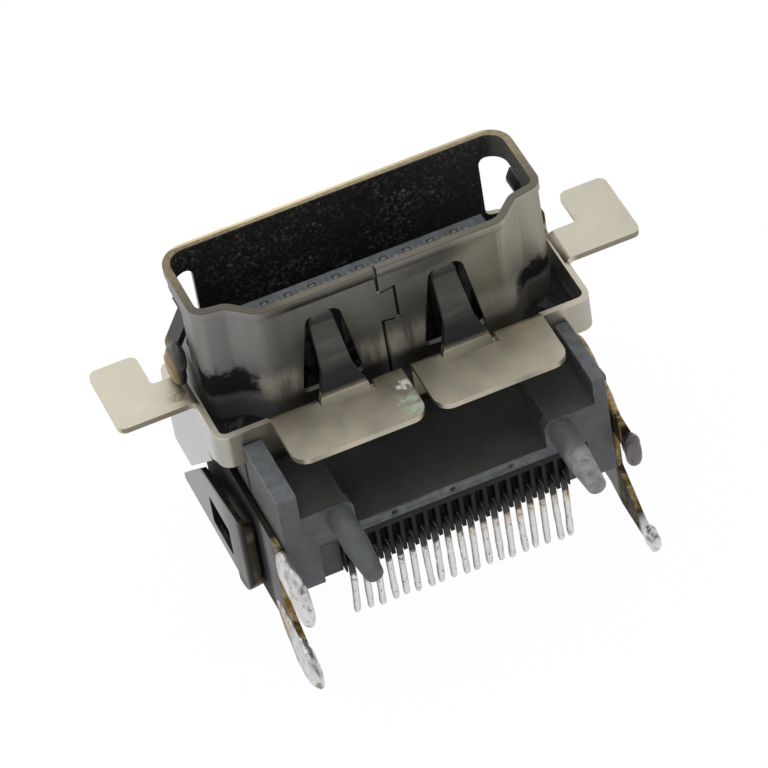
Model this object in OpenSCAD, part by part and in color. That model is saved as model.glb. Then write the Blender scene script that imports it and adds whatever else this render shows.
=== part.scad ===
// Board socket of the 19-contact digital video kind, with flange ears and board legs.
// Frame: +Z runs out of the mouth, the board lies on the -Y side, X runs along the mouth's width.
// Origin: on the board plane, midway between the two locating pegs.

/* [Mouth] */
// Clear width of the mouth
mouth_w = 14; // [13:0.1:16]
// Clear height of the mouth
mouth_h = 4.55; // [4.2:0.05:5.2]
// Depth from the rim to the floor of the mouth
mouth_depth = 7.6; // [7.2:0.1:8.2]
// Height of the mouth's middle above the board
axis_h = 7.3; // [7:0.1:9]
// Distance of the rim from the pegs
rim_z = 7; // [6.5:0.1:8]
// Inner radius of the two wide corners
mouth_corner_r = 0.75; // [0.4:0.05:1]
// Drop from the mouth's middle to the shoulders
shoulder_drop = 1.15; // [0.9:0.05:1.4]
// Width of each shoulder
shoulder_w = 1.1; // [0.8:0.05:1.4]
// Fall of each shoulder over its width
shoulder_fall = 0.2; // [0.1:0.05:0.35]
// Run of the slope from a shoulder to the narrow wall
slope_w = 0.95; // [0.7:0.05:1.2]
// Outward step of the rolled lip at the rim
lip_step = 0.07; // [0.05:0.01:0.16]
// Length of the rolled lip
lip_len = 0.45; // [0.3:0.05:0.7]

/* [Mouth openings] */
// Distance of each spring window from the middle
window_x = 2.56; // [2.3:0.02:2.8]
// Width of a spring window at its upper end
window_top_w = 1.36; // [1.2:0.02:1.6]
// Width of a spring window at its lower end
window_base_w = 2.6; // [2.4:0.05:2.8]
// Depth of the windows' upper end below the rim
window_top_drop = 1.15; // [1:0.05:1.5]
// Radius of the spring windows' upper corners
window_top_r = 0.45; // [0.2:0.05:0.55]
// Depth of the windows' lower end below the rim
window_base_drop = 4.9; // [4.6:0.1:5.2]
// Width of the wide wall that each corner window takes
corner_window_w = 0.95; // [0.7:0.05:1.2]
// Height of the side wall that each corner window takes
corner_window_h = 1.9; // [1.6:0.05:2]
// Depth of the corner windows' lower end below the rim
corner_window_drop = 4.15; // [4:0.05:4.5]
// Place of the seam left of the middle
seam_x = 0.23; // [0.1:0.01:0.3]
// Width of the seam's dovetail
dovetail_w = 0.66; // [0.5:0.02:0.8]
// Length of the seam's dovetail
dovetail_len = 1.45; // [1:0.05:1.6]
// Width of the seam
seam_gap = 0.1; // [0.05:0.01:0.12]

/* [Sheet metal] */
// Thickness of the two shells' sheet
sheet = 0.25; // [0.2:0.01:0.3]
// Thickness of the rear cover's sheet
cover_sheet = 0.22; // [0.18:0.01:0.25]
// Gap between pieces that slide together
fit = 0.04; // [0.03:0.01:0.08]
// Radius at the middle of the sheet in a tight fold
fold_r = 0.35; // [0.3:0.01:0.45]
// Radius at the middle of the sheet in the outer shell's corners
corner_r = 0.4; // [0.35:0.01:0.6]

/* [Outer shell] */
// Height of the flange face above the pegs
flange_z = 2.8; // [2.5:0.05:3]
// Step from the flange face down to the walls' edge
edge_step = 0.2; // [0.1:0.02:0.3]
// Gap between the mouth's two wide walls and the outer shell
front_gap = 1; // [0.9:0.05:1.2]
// Gap between the mouth's two side walls and the outer shell
side_gap = 0.38; // [0.3:0.01:0.5]
// Height of the front corners
wrap_h = 1.6; // [1.4:0.05:1.8]
// Depth of the outer shell's rear edge below the pegs
shell_drop = 3.4; // [3.2:0.05:3.6]
// Distance of the side walls' slanted edge from the front corner
slant_in = 1.05; // [0.8:0.05:1.2]
// Distance of the slanted edge's far end from the outer shell's top
slant_out = 2.15; // [1.9:0.05:2.6]
// Half of the gap between the two tabs
tab_gap = 0.2; // [0.15:0.01:0.35]
// Width of a tab
tab_w = 5.5; // [5:0.1:5.8]
// Reach of a tab past the front wall
tab_reach = 2.82; // [2.4:0.02:3]
// Corner radius of a tab
tab_r = 0.65; // [0.4:0.05:1]
// Length of each ear past the side wall
ear_len = 3.27; // [2.9:0.01:3.6]
// Width of an ear's stem
ear_w = 1.78; // [1.5:0.02:2]
// Distance of the stem's lower side below the mouth's middle
ear_drop = 1.52; // [1.3:0.02:1.8]
// Width of an ear's hook
hook_w = 2; // [1.6:0.05:2.2]
// Height of an ear's hook over its stem
hook_h = 1.85; // [1.2:0.05:2.2]
// Corner radius of the ears
ear_r = 0.35; // [0.2:0.05:0.5]

/* [Spring fingers] */
// Width of a front finger at its foot
finger_base_w = 2.05; // [1.8:0.05:2.1]
// Width of a front finger at its knee
finger_knee_w = 1.25; // [1:0.05:1.4]
// Width of a front finger at its tip
finger_tip_w = 0.86; // [0.7:0.02:0.95]
// Radius of a front finger's tip corners
finger_tip_r = 0.3; // [0.1:0.02:0.34]
// Height of a front finger's knee over the flange
knee_up = 0.75; // [0.6:0.05:0.9]
// Depth of a front finger's bump below the windows' upper end
bump_drop = 0.75; // [0.6:0.05:0.9]
// Depth of a front finger's tip below the windows' upper end
tip_drop = 0.2; // [0.15:0.01:0.3]
// Width of a side finger
side_finger_w = 0.9; // [0.7:0.05:1]

/* [Board legs] */
// Width of a front leg at its root
leg_w = 1.2; // [0.9:0.05:1.4]
// Width of a leg at its tip
leg_tip_w = 0.75; // [0.5:0.05:0.9]
// Reach of the left front leg past the board
leg_reach = 2.45; // [1.8:0.05:2.6]
// Reach of the rear legs past the board
rear_reach = 2.15; // [1.8:0.05:2.6]
// Reach of the broken right front leg past the board
stub_reach = 1.15; // [0.6:0.05:1.2]
// Distance of the side plates' upper edge below the mouth's floor
plate_in = 0.15; // [0.1:0.01:0.25]
// Lean of the front legs away from the mouth
front_lean = 0.15; // [0:0.05:0.3]
// Depth of the rear legs' upper root below the pegs
rear_root_drop = 3.9; // [3.6:0.05:4.2]
// Depth of the rear legs' heel below the pegs
heel_drop = 6.05; // [5.9:0.05:6.3]
// Height of the side plates' foot above the board
plate_h = 0.8; // [0.5:0.05:1.2]

/* [Rear cover] */
// Depth of the cover's back below the pegs
cover_drop = 5.95; // [5.85:0.05:6.4]
// Half width of the cover's top
cover_top_x = 6.3; // [5.5:0.1:6.6]
// Gap along the outer shell's slanted edge
slant_gap = 0.2; // [0.12:0.02:0.3]
// Depth of a flap's upper edge below the pegs
flap_drop = 1.35; // [1.2:0.05:1.5]
// Height of the flaps' lower edge above the board
flap_h = 2.85; // [2.7:0.05:3.2]
// Radius of a flap's upper corner
flap_r = 0.5; // [0.3:0.05:0.7]
// Radius of a flap's lower corner
heel_r = 1.6; // [1.2:0.05:1.7]
// Distance from the slanted edge's start to the flap's shoulder
flap_rise = 2.15; // [1.8:0.05:2.5]
// Length of the latch slot
slot_len = 2.2; // [1.6:0.1:2.4]
// Width of the latch slot
slot_w = 1.5; // [0.9:0.05:1.5]
// Distance of the latch slot from the flap's lower edge
slot_up = 1.9; // [1.5:0.1:2.2]
// Distance of the latch slot from the cover's back
slot_in = 1.05; // [0.9:0.05:1.4]

/* [Housing] */
// Depth of the housing's back below the pegs
housing_drop = 3.1; // [2.9:0.05:3.5]
// Width of a rail
rail_w = 0.8; // [0.6:0.05:1]
// Height of the rails above the pegs
rail_z = 1.95; // [1.6:0.05:2.2]
// Height of the side floors above the pegs
side_floor_z = 0.65; // [0.5:0.05:0.8]
// Half width of the middle floor
mid_floor_x = 4.2; // [4:0.05:4.3]
// Width of the foot strip at the board
strip_w = 0.53; // [0.4:0.01:0.6]
// Height of the corner fill over the front corners' lower edge
fill_h = 0.3; // [0.2:0.05:0.6]
// Diameter of the locating pegs
peg_d = 1.05; // [0.9:0.05:1.2]
// Distance of each peg from the middle
peg_x = 4.62; // [4.5:0.02:4.8]
// Diameter of the locating pegs at their tips
peg_tip_d = 0.75; // [0.6:0.05:0.9]
// Length of the pegs' straight part
peg_straight = 1.7; // [1.4:0.1:1.9]
// Reach of the pegs past the board
peg_reach = 3.55; // [2:0.05:3.8]
// Width of the pad under each peg
pad_w = 1.25; // [1.2:0.05:1.4]
// Distance of the housing's right side from the mouth's wall
right_in = 0.3; // [0.1:0.02:0.5]
// Depth of the recesses beside the tail comb
recess_h = 0.25; // [0.15:0.05:1.2]
// Spacing of the three pin marks
mark_pitch = 2.45; // [2:0.05:2.6]

/* [Tongue and contacts] */
// Width of the tongue
tongue_w = 10.6; // [10.2:0.1:11]
// Thickness of the tongue
tongue_t = 1.2; // [1.1:0.05:1.3]
// Depth of the tongue's end below the rim
tongue_drop = 2.3; // [1.8:0.1:2.6]
// Spacing of the contacts
pitch = 0.5; // [0.48:0.01:0.52]
// Width of a contact
contact_w = 0.25; // [0.2:0.01:0.28]
// Thickness of a contact
contact_t = 0.18; // [0.14:0.01:0.2]
// Reach of the middle tail below the pegs
tail_drop = 5.7; // [5.2:0.05:5.9]
// Growth in reach from each tail to the next on its right
tail_skew = 0.022; // [0:0.002:0.03]
// Height of the contacts' noses over the mouth's middle
nose_up = 0.2; // [0.15:0.01:0.25]
// Distance of the contacts' drop from the housing's back
drop_in = 0.22; // [0.15:0.01:0.3]
// Height of the tail comb
comb_h = 1.7; // [1.2:0.1:2]

/* [Hidden] */
$fn = 48;
CONTACTS = 19;
function contact_name(i) = str("contact_", i < 9 ? "0" : "", i + 1);

// Room that a cutting shape reaches past the face it opens
over = 0.5;
// Straight pieces in each rounded corner of an outline
arc_steps = 8;

floor_z = rim_z - mouth_depth;
mouth_x = mouth_w / 2;
mouth_y = mouth_h / 2;
back_z = -housing_drop;
edge_z = flange_z - edge_step;
wrap_z = edge_z - wrap_h;

// Faces of the outer shell, at the middle of its sheet
shell_x = mouth_x + sheet + side_gap + sheet / 2;
shell_top = axis_h + mouth_y + sheet + front_gap + sheet / 2;
shell_front = axis_h - mouth_y - sheet - front_gap - sheet / 2;
flange_mid = flange_z - sheet / 2;
tab_out = tab_gap + tab_w;
ear_y = axis_h - ear_drop;
ear_reach = shell_x + ear_len;
corner_top = shell_front + corner_r;
corner_x = shell_x - corner_r - sheet / 2;
slant_z = wrap_z - wrap_h / 2;
slant_low = corner_top + slant_in;
slant_high = shell_top - slant_out;
shell_back_z = -shell_drop;
cover_back_z = -cover_drop;
cover_h = shell_top - sheet / 2 - 2 * fit;
plate_front_z = floor_z - plate_in;
block_x = mouth_x - fit;

// Corners of the mouth's outline, anticlockwise: x, y and radius
shoulder_r = 0.35;
waist_r = 0.7;
floor_r = 0.5;
mouth_half = [
    [mouth_x - shoulder_w - slope_w, -mouth_y, floor_r],
    [mouth_x - shoulder_w, -shoulder_drop - shoulder_fall, waist_r],
    [mouth_x, -shoulder_drop, shoulder_r],
    [mouth_x, mouth_y, mouth_corner_r]];
mouth_corners = concat(mouth_half,
    [for (i = [3 : -1 : 0]) [-mouth_half[i].x, mouth_half[i].y, mouth_half[i].z]]);

function flat(p) = [p.x, p.y];
function unit(v) = v / norm(v);
function right_of(v) = [v.y, -v.x];
function polar(r, a) = r * [cos(a), sin(a)];
function arc(c, r, a, b) = [for (i = [0 : arc_steps]) c + polar(r, a + (b - a) * i / arc_steps)];
function turn(a, b) = (b - a + 540) % 360 - 180;

// Points of the arc that rounds the corner at p between points a and b
function fillet(a, p, b, r) =
    let (u = unit(flat(a) - flat(p)), v = unit(flat(b) - flat(p)), half = acos(u * v) / 2,
         c = flat(p) + unit(u + v) * r / sin(half), s = flat(p) + u * r / tan(half) - c,
         e = flat(p) + v * r / tan(half) - c, from = atan2(s.y, s.x))
    r < 0.02 || norm(u + v) < 0.01 ? [flat(p)] : arc(c, r, from, from + turn(from, atan2(e.y, e.x)));

// Closed outline with each corner rounded by its own radius
function rounded(c) = [for (i = [0 : len(c) - 1])
    each fillet(c[(i + len(c) - 1) % len(c)], c[i], c[(i + 1) % len(c)], c[i].z)];

// Open path with each inner corner rounded by its own radius
function rounded_path(c) = concat([flat(c[0])],
    [for (i = [1 : len(c) - 2]) each fillet(c[i - 1], c[i], c[i + 1], c[i].z)], [flat(c[len(c) - 1])]);

// Corners of an anticlockwise outline moved outwards by d, with their radii grown to suit
function grown(c, d) = [for (i = [0 : len(c) - 1])
    let (p = flat(c[i]), e = unit(p - flat(c[(i + len(c) - 1) % len(c)])),
         f = unit(flat(c[(i + 1) % len(c)]) - p), n = right_of(e), m = right_of(f),
         q = p + d * (n + m) / (1 + n * m))
    [q.x, q.y, max(0, c[i].z + d * sign(e.x * f.y - e.y * f.x))]];

// Outline of a strip of thickness t along an open path
function side_points(p, d) = [for (i = [0 : len(p) - 1])
    let (e = i > 0 ? unit(p[i] - p[i - 1]) : unit(p[1] - p[0]),
         f = i < len(p) - 1 ? unit(p[i + 1] - p[i]) : e, n = right_of(e), m = right_of(f))
    p[i] + d * (n + m) / (1 + n * m)];
function reversed(p) = [for (i = [len(p) - 1 : -1 : 0]) p[i]];
function strip(p, t) = concat(side_points(p, t / 2), reversed(side_points(p, -t / 2)));

// Block between two corners
module block(a, b) { translate(a) cube(b - a); }

// The same shape on the right and on the left
module both_sides() {
    children();
    mirror([1, 0, 0]) children();
}

// An outline in Y and Z carried along X from x0 to x1
module along_x(x0, x1) { translate([x0, 0, 0]) rotate([90, 0, 90]) linear_extrude(x1 - x0) children(); }

// An outline in X and Z carried along Y from y0 to y1
module along_y(y0, y1) { translate([0, y1, 0]) rotate([90, 0, 0]) linear_extrude(y1 - y0) children(); }

// An outline in X and Y carried along Z from z0 to z1
module along_z(z0, z1) { translate([0, 0, z0]) linear_extrude(z1 - z0) children(); }

// The mouth's outline grown by d, at its place over the board
module mouth_outline(d) { translate([0, axis_h]) polygon(rounded(grown(mouth_corners, d))); }

// Inner shell: the drawn mouth with its rolled lip, windows, seam and legs

// Widths of a spring window follow its height
module spring_window() {
    top = rim_z - window_top_drop;
    base = rim_z - window_base_drop;
    window_r = 0.25;
    polygon(rounded([
        [window_x - window_base_w / 2, base, window_r],
        [window_x + window_base_w / 2, base, window_r],
        [window_x + window_top_w / 2, top, window_top_r],
        [window_x - window_top_w / 2, top, window_top_r]]));
}

module corner_window() {
    top = rim_z - window_top_drop;
    base = rim_z - corner_window_drop;
    left = mouth_x - corner_window_w;
    low = axis_h + mouth_y - corner_window_h;
    window_r = 0.3;
    intersection() {
        along_y(low, shell_top) polygon(rounded([
            [left, base, window_r], [shell_x, base, 0], [shell_x, top, 0], [left, top, window_r]]));
        along_x(left, shell_x) polygon(rounded([
            [low, base, window_r], [shell_top, base, 0], [shell_top, top, 0], [low, top, window_r]]));
    }
}

// The seam steps out round a dovetail that locks the two edges
module seam() {
    top = rim_z - window_top_drop - edge_step;
    flare = seam_gap;
    low = top - dovetail_len;
    out_x = dovetail_w - seam_x;
    wall_y = axis_h - mouth_y;
    path = [[-seam_x, rim_z + over], [-seam_x, top], [out_x, top + flare],
        [out_x, low - flare], [-seam_x, low], [-seam_x, floor_z - over]];
    along_y(wall_y - sheet - lip_step - over, wall_y + over) polygon(strip(path, seam_gap));
}

// Side plate: carries the mouth's side wall back to two board legs
module front_leg(reach, tip_w, tip_r) {
    root_z = plate_front_z;
    tip_z = root_z - front_lean;
    polygon(rounded([[plate_h + sheet, root_z, 0], [plate_h, root_z, 0], [-reach, tip_z, tip_r],
        [-reach, tip_z - tip_w, tip_r], [plate_h, root_z - leg_w, 0], [plate_h + sheet, root_z - leg_w, 0]]));
}

module rear_leg(rear_z) {
    heel_z = -heel_drop;
    heel_lean = 0.15;
    tip_z = heel_z - heel_lean;
    knee_y = -plate_h - sheet;
    polygon(rounded([[2 * plate_h + sheet, -rear_root_drop, 0], [plate_h, -rear_root_drop, 0],
        [knee_y, tip_z + leg_tip_w + heel_lean, leg_tip_w], [-rear_reach, tip_z + leg_tip_w, leg_tip_w / 3],
        [-rear_reach, tip_z, leg_tip_w / 3], [plate_h, heel_z, 0], [2 * plate_h + sheet, rear_z, 0]]));
}

module side_plate(reach, tip_w, tip_r) {
    front_z = plate_front_z;
    // The plate's rear edge stands against the cover's back
    rear_z = cover_back_z + cover_sheet + fit;
    bridge_low = axis_h - shoulder_drop + shoulder_r + sheet;
    plate_top = axis_h + mouth_y - mouth_corner_r;
    along_x(mouth_x, mouth_x + sheet) {
        polygon([
            [plate_h, front_z], [plate_h, rear_z + leg_w], [2 * plate_h + sheet, rear_z], [plate_top, rear_z],
            [plate_top, floor_z + over], [bridge_low, floor_z + over], [bridge_low, front_z]]);
        front_leg(reach, tip_w, tip_r);
        rear_leg(rear_z);
    }
}

module inner_shell() {
    color([0.48, 0.46, 0.42]) difference() {
        union() {
            along_z(floor_z, rim_z) mouth_outline(sheet);
            along_z(rim_z - lip_len, rim_z) mouth_outline(sheet + lip_step);
            side_plate(stub_reach, leg_w, 0);
            mirror([1, 0, 0]) side_plate(leg_reach, leg_tip_w, leg_tip_w / 3);
        }
        along_z(floor_z - over, rim_z + over) mouth_outline(0);
        both_sides() along_y(axis_h - mouth_y - 2 * sheet, axis_h - mouth_y + over) spring_window();
        both_sides() corner_window();
        seam();
    }
}

// Outer shell: one folded sheet with tabs, ears and fingers

// Half of the wall's path, from the tab's side round to the middle of the top
wall_path = rounded_path([
    [tab_out, shell_front, 0], [shell_x, shell_front, corner_r],
    [shell_x, shell_top, corner_r], [0, shell_top, 0]]);
light_z = edge_z - wrap_h - 3 * sheet;

module shell_wall() {
    light_x = mouth_x - corner_window_w - front_gap;
    notch_w = sheet / 2;
    difference() {
        along_z(shell_back_z, edge_z) polygon(strip(wall_path, sheet));
        block([0, 0, shell_back_z - over], [corner_x, corner_top, wrap_z]);
        // The side wall's edge slants down from the front corner, with a nick where the fold begins
        along_x(corner_x, shell_x + over) polygon([
            [0, wrap_z], [corner_top, wrap_z], [slant_low - notch_w, slant_z + sheet],
            [slant_low + sheet, slant_z + sheet + notch_w], [slant_low, slant_z], [slant_high, shell_back_z],
            [slant_high, shell_back_z - over], [0, shell_back_z - over]]);
        // Behind the corner window the wall is cut away
        block([light_x, axis_h + mouth_y + sheet - corner_window_h, light_z],
            [shell_x + over, shell_top + over, edge_z + over]);
    }
}

// Front finger: foot, knee and curled tip in the mouth's window
finger_foot_z = edge_z - 2 * fold_r;
finger_knee_z = flange_z + knee_up;
finger_bump_z = rim_z - window_top_drop - bump_drop;
finger_tip_z = rim_z - window_top_drop - tip_drop;
finger_knee_y = shell_front + front_gap / 2;
finger_bump_y = axis_h - mouth_y + sheet / 2;
finger_r = 0.4;
finger_path = rounded_path([
    [shell_front, finger_foot_z, 0], [shell_front, edge_z + fold_r / 2, finger_r],
    [finger_knee_y, finger_knee_z, finger_r], [finger_bump_y, finger_bump_z, finger_r],
    [finger_bump_y - sheet, finger_tip_z, 0]]);

module front_finger() {
    intersection() {
        along_x(0, tab_out) polygon(strip(finger_path, sheet));
        along_y(shell_front - over, axis_h) translate([window_x, 0]) polygon(rounded([
            [-finger_base_w / 2, finger_foot_z - over, 0], [finger_base_w / 2, finger_foot_z - over, 0],
            [finger_base_w / 2, edge_z, 0], [finger_knee_w / 2, finger_knee_z, 0],
            [finger_tip_w / 2, finger_tip_z, finger_tip_r], [-finger_tip_w / 2, finger_tip_z, finger_tip_r],
            [-finger_knee_w / 2, finger_knee_z, 0], [-finger_base_w / 2, edge_z, 0]]));
    }
}

// Tab: the front wall folds out flat, with a notch where the finger rises
module tab() {
    free_y = shell_front - sheet / 2 - tab_reach;
    notch_w = finger_base_w + sheet;
    path = rounded_path([
        [shell_front, wrap_z, 0], [shell_front, flange_mid, fold_r], [free_y, flange_mid, 0]]);
    difference() {
        intersection() {
            along_x(tab_gap, tab_out) polygon(strip(path, sheet));
            along_z(wrap_z - over, flange_z + over) polygon(rounded([
                [tab_gap, free_y, tab_r], [tab_out, free_y, tab_r],
                [tab_out, shell_front + over, 0], [tab_gap, shell_front + over, 0]]));
        }
        block([window_x - notch_w / 2, shell_front - 2 * fold_r, finger_foot_z + fold_r],
            [window_x + notch_w / 2, shell_front + over, flange_z + over]);
    }
}

// Ear: the side wall folds out into a stem with a hook
module ear() {
    hook_x = ear_reach - hook_w;
    stem_y = ear_y + ear_w;
    hook_y = stem_y + hook_h;
    path = rounded_path([[shell_x, wrap_z, 0], [shell_x, flange_mid, fold_r], [ear_reach, flange_mid, 0]]);
    intersection() {
        along_y(ear_y, hook_y) polygon(strip(path, sheet));
        along_z(wrap_z - over, flange_z + over) polygon(rounded([
            [shell_x - over, ear_y, 0], [ear_reach, ear_y, ear_r], [ear_reach, hook_y, ear_r],
            [hook_x, hook_y, ear_r], [hook_x, stem_y, ear_r / 2], [shell_x - over, stem_y, 0]]));
    }
}

// Side finger: rises behind the ear, then leans into the corner window
module side_finger() {
    low = axis_h + mouth_y - corner_window_h + 2 * fit + sheet / 2;
    path = rounded_path([
        [shell_x, light_z - sheet, 0], [shell_x, flange_z + 3 * sheet, finger_r],
        [mouth_x - sheet / 2, finger_bump_z, finger_r], [mouth_x + sheet / 2, finger_tip_z - fit, 0]]);
    along_y(low, low + side_finger_w) polygon(strip(path, sheet));
}

module outer_shell() {
    color([0.72, 0.69, 0.63]) both_sides() {
        shell_wall();
        front_finger();
        tab();
        ear();
        side_finger();
    }
}

// Rear cover: top, back and two flaps, folded from one sheet
cover_x = shell_x + sheet / 2 - cover_sheet / 2;
cover_mid_z = cover_back_z + cover_sheet / 2;
cover_front_z = shell_back_z - slant_gap;
slant = unit([slant_high - slant_low, shell_back_z - slant_z]);
// Where the flap's slanted edge runs, clear of the outer shell's
function slant_at(y) = slant_z + (y - slant_low) * slant.y / slant.x - slant_gap / slant.x;
flap_top = slant_low + flap_rise;
flap_outline = rounded([
    [flap_h, cover_back_z, heel_r], [cover_h, cover_back_z, 0], [cover_h, slant_at(cover_h), 0],
    [flap_top, slant_at(flap_top), flap_r], [flap_h, -flap_drop, flap_r]]);
latch_slot = rounded([
    [flap_h + slot_up, cover_back_z + slot_in, flap_r / 3],
    [flap_h + slot_up + slot_len, cover_back_z + slot_in, flap_r / 3],
    [flap_h + slot_up + slot_len, cover_back_z + slot_in + slot_w, flap_r / 3],
    [flap_h + slot_up, cover_back_z + slot_in + slot_w, flap_r / 3]]);

// A flap's lower edge curls in towards the side plate
curl_y = flap_h + cover_sheet / 2;
curl_path = rounded_path([
    [cover_x, curl_y + heel_r, 0], [cover_x, curl_y, side_gap], [cover_x - side_gap - fit, curl_y, 0]]);

module rear_cover() {
    flap_path = rounded_path([[cover_x, 0, 0], [cover_x, cover_mid_z, fold_r], [0, cover_mid_z, 0]]);
    top_path = rounded_path([
        [cover_h - cover_sheet / 2, cover_front_z, 0], [cover_h - cover_sheet / 2, cover_mid_z, fold_r],
        [axis_h, cover_mid_z, 0]]);
    color([0.6, 0.59, 0.57]) both_sides() {
        difference() {
            intersection() {
                union() {
                    along_y(curl_y + side_gap, cover_h - fold_r) polygon(strip(flap_path, cover_sheet));
                    along_z(cover_back_z, 0) polygon(strip(curl_path, cover_sheet));
                }
                along_x(-over, cover_x + over) polygon(flap_outline);
            }
            along_x(cover_x - over, cover_x + over) polygon(latch_slot);
        }
        along_x(-over, cover_top_x) polygon(strip(top_path, cover_sheet));
    }
}

// Contacts: blade on the tongue, drop behind the floor, tail on the board

tongue_z = rim_z - tongue_drop;
tail_y = contact_t / 2;
drop_z = back_z + contact_t / 2 + drop_in;
blade_sink = 0.03;
bend_r = 0.25;
groove_w = contact_w + 2 * fit;
function contact_x(i) = (i - (CONTACTS - 1) / 2) * pitch;
// Contacts lie on the tongue's two faces by turns
function row(i) = i % 2 == 0 ? -1 : 1;
function blade_y(i) = axis_h + row(i) * (tongue_t / 2 - contact_t / 2 + blade_sink);
nose_y = axis_h + nose_up;
nose_len = 0.55;
nose_end = tongue_z - fit;

module contact(i) {
    path = rounded_path([
        [nose_y, nose_end, 0], [blade_y(i), tongue_z - nose_len, bend_r], [blade_y(i), drop_z, bend_r],
        [tail_y, drop_z, bend_r], [tail_y, -tail_drop - tail_skew * (i - (CONTACTS - 1) / 2), 0]]);
    color([0.78, 0.77, 0.74]) along_x(contact_x(i) - contact_w / 2, contact_x(i) + contact_w / 2)
        polygon(strip(path, contact_t));
}

// Tail comb: a bar with a slot for each contact, grooved along its underside
comb_x = (CONTACTS - 1) / 2 * pitch + pitch / 2;
comb_front = floor_z - strip_w - fit;
comb_low = 0.05;
groove_deep = 0.5;

module tail_comb() {
    slot_z = drop_z + contact_t / 2 + fit;
    color([0.16, 0.16, 0.17]) difference() {
        block([-comb_x, comb_low, back_z], [comb_x, comb_h, comb_front]);
        for (i = [0 : CONTACTS - 1]) {
            x0 = contact_x(i) - groove_w / 2;
            block([x0, comb_low - over, back_z - over], [x0 + groove_w, comb_h + over, slot_z]);
            block([x0, comb_low - over, back_z - over], [x0 + groove_w, groove_deep, comb_front - groove_w]);
        }
    }
}

// Housing: floor, tongue, rails, feet and pegs, moulded as one

module peg() {
    tip_r = 0.18;
    profile = rounded([[0, over, 0], [0, -peg_reach, 0], [peg_tip_d / 2, -peg_reach, tip_r],
        [peg_d / 2, -peg_straight, 0], [peg_d / 2, over, 0]]);
    translate([peg_x, 0, 0]) rotate([-90, 0, 0]) rotate_extrude() polygon(profile);
    // The pad under the peg is level with the side floor and rounded towards the middle
    pad_x = peg_x - pad_w / 2;
    along_y(0, over) polygon(rounded([
        [pad_x, floor_z, 0], [peg_x, floor_z, 0], [peg_x, side_floor_z, 0], [pad_x, side_floor_z, pad_w / 3]]));
}

// Plastic that fills the corners between the mouth and the outer shell, narrower below the shell's corner
module corner_outline(reach) {
    inner = [[-shell_x, shell_front, corner_r], [shell_x, shell_front, corner_r],
        [shell_x, shell_top, corner_r], [-shell_x, shell_top, corner_r]];
    fill_x = mouth_x - shoulder_w - slope_w;
    difference() {
        intersection() {
            polygon(rounded(grown(inner, -sheet / 2 - fit)));
            translate([fill_x, shell_front]) square([reach - fill_x, axis_h - shell_front]);
        }
        mouth_outline(sheet + fit);
    }
}

module corner_fill() {
    along_z(floor_z - fit, wrap_z) corner_outline(block_x);
    along_z(wrap_z - fit, wrap_z + fill_h) corner_outline(shell_x);
}

// Each contact's slot follows its blade, then its nose through the tongue's end
module contact_cuts() {
    for (i = [0 : CONTACTS - 1]) {
        x0 = contact_x(i) - groove_w / 2;
        bend = [blade_y(i), tongue_z - nose_len];
        out = bend + 2 * ([nose_y, nose_end] - bend);
        path = rounded_path([[out.x, out.y, 0], [bend.x, bend.y, bend_r], [bend.x, drop_z, 0]]);
        along_x(x0, x0 + groove_w) polygon(strip(path, contact_t + 2 * fit));
    }
}

module housing() {
    front_y = shell_front - sheet / 2 - fit;
    rail_x = block_x - rail_w;
    body_top = shell_top - sheet / 2 - fit;
    pocket_x = comb_x + fit;
    recess_x = rail_x - rail_w / 2 - 3 * fit;
    mark_d = 0.26;
    mark_deep = 0.15;
    well_front = drop_z + contact_t / 2 + 3 * fit;
    color([0.19, 0.19, 0.2]) difference() {
        union() {
            block([-block_x, 0, back_z], [block_x, body_top, floor_z]);
            block([-tongue_w / 2, axis_h - tongue_t / 2, floor_z - over],
                [tongue_w / 2, axis_h + tongue_t / 2, tongue_z]);
            both_sides() {
                block([rail_x, 0, floor_z - over], [block_x, front_y, rail_z]);
                block([mid_floor_x, 0, floor_z - over], [block_x, front_y, side_floor_z]);
                corner_fill();
                peg();
            }
        }
        // Pocket for the comb, and the well above it that the contacts drop through
        block([-pocket_x, -over, back_z - over], [pocket_x, comb_h + fit, floor_z - strip_w]);
        block([-pocket_x, -over, back_z - over], [pocket_x, axis_h + tongue_t, well_front]);
        both_sides() block([pocket_x - fit, -over, back_z - over], [recess_x, recess_h, floor_z - strip_w]);
        // The right side stands clear of the side plate
        block([mouth_x - right_in, -over, back_z - over], [shell_x, front_y, rail_z + over]);
        contact_cuts();
        for (i = [-1 : 1]) translate([i * mark_pitch, -over, floor_z - strip_w / 2]) rotate([-90, 0, 0])
            cylinder(d = mark_d, h = over + mark_deep);
    }
}

outer_shell();
inner_shell();
rear_cover();
housing();
tail_comb();
for (i = [0 : CONTACTS - 1]) contact(i);
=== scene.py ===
import math

import bmesh
import bpy
import numpy as np
from mathutils import Matrix, Vector


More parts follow.
